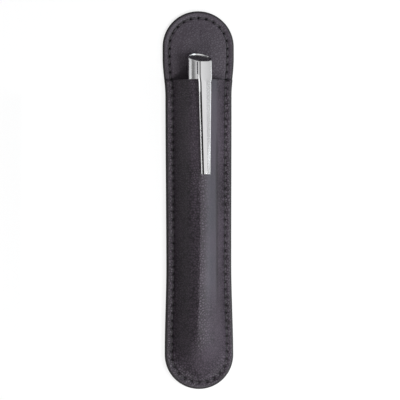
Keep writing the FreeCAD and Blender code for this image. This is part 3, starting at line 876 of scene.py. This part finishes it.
class SLEEVE_OT_pocket(bpy.types.Operator):
    """Make the arched front leather and the thin lining of its pocket"""

    bl_idname = "sleeve.pocket"
    bl_label = "Pocket"

    def execute(self, context):
        sizes = context.scene.sleeve_sizes
        pen = context.scene.pen_sizes
        finishes = context.scene.sleeve_finishes
        holes = needle_holes(sizes, False)
        mirrored = both_sides(holes)
        wave_height = 0.00010
        mouth_round, mouth_depth = 0.0006, 0.00035

        def outside(x, y, inset):
            grow, margin = FRONT_TOP
            tent = arch(sizes, pen, x, y, grow)
            arched = between(tent, 0.0035, 0.0075)
            off_pen = between(tent, 0.0128, 0.0108)
            z = soft_max(tent, margin, sizes.fold_radius) + wave_height * unevenness(x, y) * arched * off_pen
            z = z + flank_crease(x, y) + crest_fold(x, y, arched)
            z = z - edge_drop(np.abs(MOUTH_Y - y), mouth_round, mouth_depth)
            return z - worked_in(sizes, mirrored, x, y, inset, seam=0.00048, hole=0.00045, edge=0.0006)

        def smooth_face(face):
            grow, margin = face

            def height(x, y, inset):
                return soft_max(arch(sizes, pen, x, y, grow), margin, sizes.fold_radius)

            return height

        inside = smooth_face(FRONT_UNDER)
        front = leather_sheet("front_leather", sizes, MOUTH_Y, outside, inside, middle=26)
        mark_seam(front, sizes, holes)
        # Painted sheen on the right flank and painted shade in its crease.
        mark_sheen_and_crease_shade(front)
        dress(front, outer_leather(finishes), "front_panel", "case")

        over, under = smooth_face(SKIVER_TOP), smooth_face(SKIVER_UNDER)
        skiver = leather_sheet("pocket_skiver", sizes, MOUTH_Y, over, under, middle=24, columns=PLAIN_COLUMNS,
                               row_step=sizes.skiver_step)
        mark_seam(skiver, sizes, holes[:0])
        pore = shade(finishes.skiver, 0.5)
        thin = pebbled_leather("skiver_leather", finishes.skiver, pore, finishes, depth=0.2, gloss=0.55)
        dress(skiver, thin, "pocket_lining", "case")
        return {"FINISHED"}


class SLEEVE_OT_thread(bpy.types.Operator):
    """Sew the seam: one twisted stitch, copied from needle hole to needle hole"""

    bl_idname = "sleeve.thread"
    bl_label = "Thread"

    def one_stitch(self, sizes):
        """A stitch of length 1 along X, arched over the leather and twisted from two strands."""
        end_sink = 0.00016
        obj = start("stitch", bpy.ops.mesh.primitive_uv_sphere_add, segments=8, ring_count=9, radius=1.0,
                    rotation=(0, math.pi / 2, 0))
        bpy.ops.object.transform_apply(location=False, rotation=True, scale=False)
        points = places(obj.data)
        along = points[:, 0]
        turn = np.arctan2(points[:, 2], points[:, 1])
        full = np.clip(np.hypot(points[:, 1], points[:, 2]) * 1.25, 0.0, 1.0)
        strand = 1.0 + 0.10 * np.cos(2.0 * turn + 5.0 * along)
        radius = 0.5 * sizes.thread_width * full * strand
        reach = 0.5 * np.sign(along) * np.abs(along) ** 0.85
        height = radius * np.sin(turn) - end_sink * np.abs(reach) ** 3
        move_to(obj.data, np.stack([reach, radius * np.cos(turn), height], axis=1))
        return obj

    def sew(self, name, sizes, pattern, rows, up):
        copies = []
        for holes, z in rows:
            for side in (1.0, -1.0):
                slant = STITCH_SLANT * side
                for (x0, y0), (x1, y1) in zip(holes, holes[1:]):
                    first = Vector((side * x0, y0, z))
                    last = Vector((side * x1, y1, z))
                    run = last - first
                    along = run.normalized()
                    facing = (along * math.cos(slant) + up.cross(along) * math.sin(slant)).normalized()
                    turn = Matrix((facing, up.cross(facing), up)).transposed().to_4x4()
                    size = Matrix.Diagonal((run.length - sizes.stitch_gap, 1.0, 1.0, 1.0))
                    stitch = bpy.data.objects.new(name, pattern.data.copy())
                    stitch.data.transform(Matrix.Translation((first + last) / 2) @ turn @ size)
                    bpy.context.collection.objects.link(stitch)
                    copies.append(stitch)
        join(copies)
        seam = named(name)
        face_outwards()
        smooth_by_angle(seam, degrees=60)
        return seam

    def execute(self, context):
        sizes = context.scene.sleeve_sizes
        material = waxed_thread(context.scene.sleeve_finishes)
        pattern = self.one_stitch(sizes)
        holes_up = needle_holes(sizes, True)
        holes_down = needle_holes(sizes, False)
        up = Vector((0, 0, 1.0))
        over = ((holes_down, POCKET_THREAD_Z), (holes_up, FLAP_THREAD_Z))
        front = self.sew("front_thread", sizes, pattern, over, up)
        dress(front, material, "front_stitches", "case")
        under = ((holes_down, BACK_THREAD_Z), (holes_up, BACK_THREAD_Z))
        back = self.sew("back_thread", sizes, pattern, under, -up)
        dress(back, material, "back_stitches", "case")
        bpy.data.objects.remove(pattern)
        return {"FINISHED"}


class SLEEVE_OT_cap(bpy.types.Operator):
    """Turn the plated cap with its slanted end, inlay and lip ring, and finish what is inside it"""

    bl_idname = "sleeve.cap"
    bl_label = "Pen cap"

    def execute(self, context):
        pen = context.scene.pen_sizes
        finishes = context.scene.sleeve_finishes
        plating = plated_metal("bright_plating", finishes.plating, roughness=0.08)
        satin = plated_metal("satin_plating", finishes.plating, roughness=0.20)
        outer = pen.cap_diameter / 2
        bore = outer - pen.cap_wall
        top = pen.cap_top
        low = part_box("cap_tube")[0][1]
        bend = top - 0.0008
        cap = turned("cap_shell", (
            (outer - 0.00012, low), (outer, low + 0.00015), (outer, top - 0.006), (outer, bend),
            (outer, top - 0.0003), (outer - 0.00008, top - 0.0001), (outer - 0.00024, top),
            (bore + 0.00012, top), (bore + 0.00003, top - 0.00006), (bore, top - 0.0002),
            (bore, bend), (bore, top - 0.006), (bore, low)), pen)
        slant_end(cap, pen, bend - 0.0001)
        roll_pen(cap, pen)
        dress(cap, satin, "cap_tube", "cap")

        face = top - 0.00035
        inlay = turned("cap_end_inlay", (
            (0.0, face), (0.0022, face), (bore - 0.00035, face - 0.00003), (bore - 0.00012, face - 0.0001),
            (bore - 0.00002, face - 0.00025), (bore - 0.00002, face - 0.0009),
            (0.0, face - 0.0009)), pen, closed=False)
        slant_end(inlay, pen, 0.0)
        roll_pen(inlay, pen)
        resin = gloss_coat("inlay_resin", finishes.inlay, roughness=0.22, coat=0.4)
        dress(inlay, resin, "cap_inlay", "cap")

        ring_low, ring_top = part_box("cap_lip_ring")[0][1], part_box("cap_lip_ring")[1][1]
        ring = turned("cap_lip", (
            (outer - 0.0002, ring_low), (outer - 0.00006, ring_low + 0.00006), (outer, ring_low + 0.0002),
            (outer, ring_top - 0.0003), (outer - 0.00012, ring_top - 0.0001), (outer - 0.00025, ring_top),
            (bore, ring_top), (bore, ring_low + 0.0001), (bore + 0.0001, ring_low)), pen)
        dress(ring, plating, "cap_lip_ring", "cap")
        brass = ground_metal("turned_brass", finishes.brass, roughness=0.22)
        dress_nodes(brass, "cap_head_plug")
        steel = ground_metal("ground_steel", finishes.steel, roughness=0.20)
        dress_nodes(steel, "clip_pivot_pin", "clip_spring")
        moulding = moulded_part("black_moulding", finishes.moulding)
        dress_nodes(moulding, "inner_cap", "feed", "converter_piston")
        return {"FINISHED"}


class SLEEVE_OT_clip(bpy.types.Operator):
    """Shape the plated clip: a bevelled blade drawn out from its head, with a root down to the cap"""

    bl_idname = "sleeve.clip"
    bl_label = "Clip"

    def execute(self, context):
        pen = context.scene.pen_sizes
        under = pen.axis_height + 0.0070
        lean = 0.0004
        blade = self.blade(pen, under)
        join([blade, self.root(pen, under)])
        smooth_by_angle(blade, degrees=30)
        points = places(blade.data)
        points[:, 0] -= lean * (points[:, 1] - pen.clip_tip) / (pen.clip_top - pen.clip_tip)
        move_to(blade.data, points)
        roll_pen(blade, pen)
        apply_modifier(blade, "WEIGHTED_NORMAL", keep_sharp=True)
        dress(blade, bpy.data.materials["bright_plating"], "clip", "clip")
        return {"FINISHED"}

    def blade(self, pen, under):
        """The bevelled blade, drawn out from its head to its tip in three lengths."""
        flank = under + 0.0008
        shoulder = under + 0.0015
        over = under + 0.0022
        brow_z, ridge_z = over - 0.00006, over + 0.00012
        sections = (
            (pen.clip_top, pen.clip_head_width), (pen.clip_shoulder, pen.clip_head_width),
            (pen.clip_neck, pen.clip_neck_width), (pen.clip_tip, pen.clip_tip_width))
        half = pen.clip_head_width / 2
        foot = half + pen.clip_bevel
        step = half + 0.00040
        brow = half - 0.00005
        ring = (
            (foot, under), (foot, flank), (step, shoulder), (brow, brow_z), (0.0, ridge_z), (-brow, brow_z),
            (-step, shoulder), (-foot, flank), (-foot, under), (0.0, under))
        obj = start("clip_blade", bpy.ops.mesh.primitive_circle_add, vertices=len(ring), radius=0.002,
                    fill_type="NGON", rotation=(math.pi / 2, 0, 0))
        bpy.ops.object.transform_apply(location=False, rotation=True, scale=False)
        for vertex, (x, z) in zip(obj.data.vertices, ring):
            vertex.co = (x, pen.clip_top, z)
        edit_all()
        for (y, width), (next_y, next_width) in zip(sections, sections[1:]):
            bpy.ops.mesh.extrude_region_move(TRANSFORM_OT_translate={"value": (0, next_y - y, 0)})
            object_mode()
            change = (next_width - width) / 2
            for vertex in obj.data.vertices:
                if vertex.select and abs(vertex.co.x) > 1e-6:
                    vertex.co.x += change * math.copysign(1.0, vertex.co.x)
            bpy.ops.object.mode_set(mode="EDIT")
        face_outwards()
        apply_modifier(
            obj, "BEVEL", width=0.00009, segments=3, limit_method="ANGLE", angle_limit=math.radians(10))
        return obj

    def root(self, pen, under):
        """The block under the clip's head, cut to sit on the round cap."""
        half = pen.clip_head_width / 2 + pen.clip_bevel - 0.0001
        low_y = pen.clip_top - 0.0052
        high_y = pen.clip_top - 0.0001
        top_z = under + 0.0003
        radius = pen.cap_diameter / 2 + 0.00004
        slant_relief = 0.00034
        root = start("clip_root", bpy.ops.mesh.primitive_grid_add, x_subdivisions=12, y_subdivisions=1, size=2.0)
        points = places(root.data)
        points[:, 0] *= half
        far = points[:, 1] > 0
        points[:, 1] = np.where(far, high_y, low_y)
        points[:, 2] = pen.axis_height + np.sqrt(radius ** 2 - points[:, 0] ** 2) + slant_relief * far
        move_to(root.data, points)
        edit_all()
        bpy.ops.mesh.flip_normals()
        bpy.ops.mesh.extrude_region_move(TRANSFORM_OT_translate={"value": (0, 0, 0.001)})
        object_mode()
        for vertex in root.data.vertices:
            if vertex.select:
                vertex.co.z = top_z
        face_outwards()
        return root


class SLEEVE_OT_barrel(bpy.types.Operator):
    """Turn the lacquered barrel with its plated ring and tail plug"""

    bl_idname = "sleeve.barrel"
    bl_label = "Barrel"

    def execute(self, context):
        pen = context.scene.pen_sizes
        plating = bpy.data.materials["bright_plating"]
        lacquer = gloss_coat("black_lacquer", context.scene.sleeve_finishes.lacquer, roughness=0.10, coat=1.0)
        barrel = turned("barrel_shell", BARREL_PROFILE, pen)
        dress(barrel, lacquer, "barrel_tube", "barrel")
        ring = turned("barrel_band", BAND_PROFILE, pen)
        dress(ring, plating, "barrel_ring", "barrel")
        tail = turned("tail_cap", TAIL_PROFILE, pen, closed=False)
        dress(tail, plating, "tail_plug", "barrel")
        return {"FINISHED"}


class SLEEVE_OT_section(bpy.types.Operator):
    """Finish the grip, its collar, the nib and the converter behind them"""

    bl_idname = "sleeve.section"
    bl_label = "Grip and converter"

    def execute(self, context):
        finishes = context.scene.sleeve_finishes
        resin = gloss_coat("black_resin", finishes.resin, roughness=0.12, coat=0.6)
        dress_nodes(resin, "grip_section", "converter_knob")
        dress_nodes(bpy.data.materials["bright_plating"], "section_collar", "converter_sleeve")
        dress_nodes(ground_metal("nib_steel", finishes.nib, roughness=0.12), "nib")
        dress_nodes(clear_reservoir(finishes), "converter_tube")
        return {"FINISHED"}


class SLEEVE_OT_studio(bpy.types.Operator):
    """Set the camera, floor, lamps, cards and surroundings"""

    bl_idname = "sleeve.studio"
    bl_label = "Studio"

    def execute(self, context):
        studio = context.scene.studio_settings
        self.camera(context, studio)
        self.floor()
        self.lamp("key_softbox", studio.key_power, tint=(0.97, 0.99, 1.0), size=(0.16, 0.16),
                  place=(0.29, -0.12, 0.55), aim=(0.0, 0.0, 0.005))
        self.lamp("side_window", studio.side_power, tint=(0.90, 0.965, 1.0), size=(0.70, 0.29),
                  place=(0.46, 0.0, 0.26), aim=(0.0, 0.0, 0.005))
        self.lamp("foot_softbox", studio.foot_power, tint=(1.0, 1.0, 1.0), size=(0.30, 0.30),
                  place=(-0.06, -0.42, 0.60), aim=(0.0, -0.05, 0.0))
        self.dark_flag("low_flag", low=(-0.075, -0.30, 0.0), high=(-0.075, 0.045, 0.013))
        self.dark_flag("left_flag", low=(-0.26, -0.30, 0.015), high=(-0.26, 0.047, 0.19))
        self.white_card()
        self.surroundings(context, studio)
        context.scene.view_settings.view_transform = "Standard"
        return {"FINISHED"}

    def camera(self, context, studio):
        data = bpy.data.cameras.new("photo_camera")
        data.sensor_fit = "HORIZONTAL"
        data.sensor_width = 36.0
        data.lens = data.sensor_width * studio.distance / studio.frame_width
        data.clip_start = 0.01
        camera = bpy.data.objects.new("photo_camera", data)
        context.collection.objects.link(camera)
        back = Vector((-math.sin(studio.side_angle), 0.0, math.cos(studio.side_angle)))
        up = Vector((0.0, 1.0, 0.0))
        turn = Matrix((up.cross(back), up, back)).transposed().to_4x4()
        aim = Vector((studio.aim_x, studio.aim_y, studio.aim_z))
        camera.matrix_world = (
            Matrix.Translation(aim + back * studio.distance) @ turn @ Matrix.Rotation(-studio.tilt, 4, "Z"))
        context.scene.camera = camera

    def flat_piece(self, name, low, high):
        """A flat piece of the stage between two corners."""
        piece = start(name, bpy.ops.mesh.primitive_plane_add, size=2.0)
        for vertex in piece.data.vertices:
            first = high if vertex.co.x > 0 else low
            second = high if vertex.co.y > 0 else low
            vertex.co = (first[0], second[1], first[2])
        return piece

    def floor(self):
        reach, height = 3.0, -0.0001
        floor = self.flat_piece("studio_floor", (-reach, -reach, height), (reach, reach, height))
        finish = new_finish("white_floor")
        seen, bent = finish.rays()
        glow = finish.glow(0.83 - 0.30 * bent)
        bright = finish.node("ShaderNodeAddShader", None, {0: glow, 1: finish.matt(FLOOR_SEEN)})["Shader"]
        plain = finish.matt(FLOOR_LIT)
        mixed = finish.node("ShaderNodeMixShader", None, {0: seen, 1: plain, 2: bright})["Shader"]
        floor.data.materials.append(finish.close(mixed))

    def dark_flag(self, name, low, high):
        """A black card past the left side, which shades the leather's left slope."""
        flag = self.flat_piece(name, low, high)
        flag.visible_camera = False
        flag.visible_shadow = False
        finish = new_finish(name)
        flag.data.materials.append(finish.close(finish.matt(FLAG_BLACK)))

    def white_card(self):
        """A white card on the ground left of the clip, which only the clip's outer bevel mirrors."""
        card = self.flat_piece("white_card", low=(-0.110, 0.004, 0.0004), high=(-0.030, 0.052, 0.0004))
        card.visible_camera = False
        card.visible_shadow = False
        card.visible_diffuse = False
        finish = new_finish("white_card")
        card.data.materials.append(finish.close(finish.glow(strength=1.3)))

    def lamp(self, name, watts, tint, size, place, aim):
        data = bpy.data.lights.new(name, "AREA")
        data.energy = watts
        data.color = tint
        data.shape = "RECTANGLE"
        data.size, data.size_y = size
        lamp = bpy.data.objects.new(name, data)
        bpy.context.collection.objects.link(lamp)
        lamp.location = place
        lamp.rotation_euler = (Vector(place) - Vector(aim)).to_track_quat("Z", "Y").to_euler()

    def surroundings(self, context, studio):
        world = bpy.data.worlds.new("white_room")
        context.scene.world = world
        finish = Finish(world)
        seen, bent = finish.rays()
        ray = finish.node("ShaderNodeTexCoord")["Generated"]
        up = finish.node("ShaderNodeSeparateXYZ", None, {"Vector": ray})["Z"]
        room = (up * studio.room_fall + (studio.room_top - studio.room_fall)).most(studio.room_low)
        strength = studio.ambient * (1.0 - seen) + (seen - bent) + bent * room
        tint = finish.mix(seen, ROOM_TINT, WHITE)
        glow = finish.node("ShaderNodeBackground", None, {"Color": tint, "Strength": strength})
        finish.node("ShaderNodeOutputWorld", None, {"Surface": glow["Background"]})


class SLEEVE_PT_maker(bpy.types.Panel):
    """Lists the makers of the sleeve, the pen and the studio"""

    bl_label = "Pen sleeve"
    bl_idname = "SLEEVE_PT_maker"
    bl_space_type = "VIEW_3D"
    bl_region_type = "UI"
    bl_category = "Pen sleeve"

    def draw(self, context):
        column = self.layout.column()
        for maker in MAKERS:
            column.operator(maker.bl_idname)


MAKERS = (
    SLEEVE_OT_back, SLEEVE_OT_pocket, SLEEVE_OT_thread, SLEEVE_OT_cap, SLEEVE_OT_clip, SLEEVE_OT_barrel,
    SLEEVE_OT_section, SLEEVE_OT_studio)
GROUPS = {
    "sleeve_sizes": SleeveSizes,
    "pen_sizes": PenSizes,
    "sleeve_finishes": SleeveFinishes,
    "studio_settings": StudioSettings,
}
CLASSES = tuple(GROUPS.values()) + MAKERS + (SLEEVE_PT_maker,)


def register():
    for made in CLASSES:
        bpy.utils.register_class(made)
    for name, group in GROUPS.items():
        setattr(bpy.types.Scene, name, PointerProperty(type=group))


def unregister():
    for name in GROUPS:
        delattr(bpy.types.Scene, name)
    for made in reversed(CLASSES):
        bpy.utils.unregister_class(made)


def main():
    register()
    bpy.ops.sleeve.studio()
    bpy.ops.sleeve.back()
    bpy.ops.sleeve.pocket()
    bpy.ops.sleeve.thread()
    bpy.ops.sleeve.cap()
    bpy.ops.sleeve.clip()
    bpy.ops.sleeve.barrel()
    bpy.ops.sleeve.section()


if __name__ == "__main__":
    main()
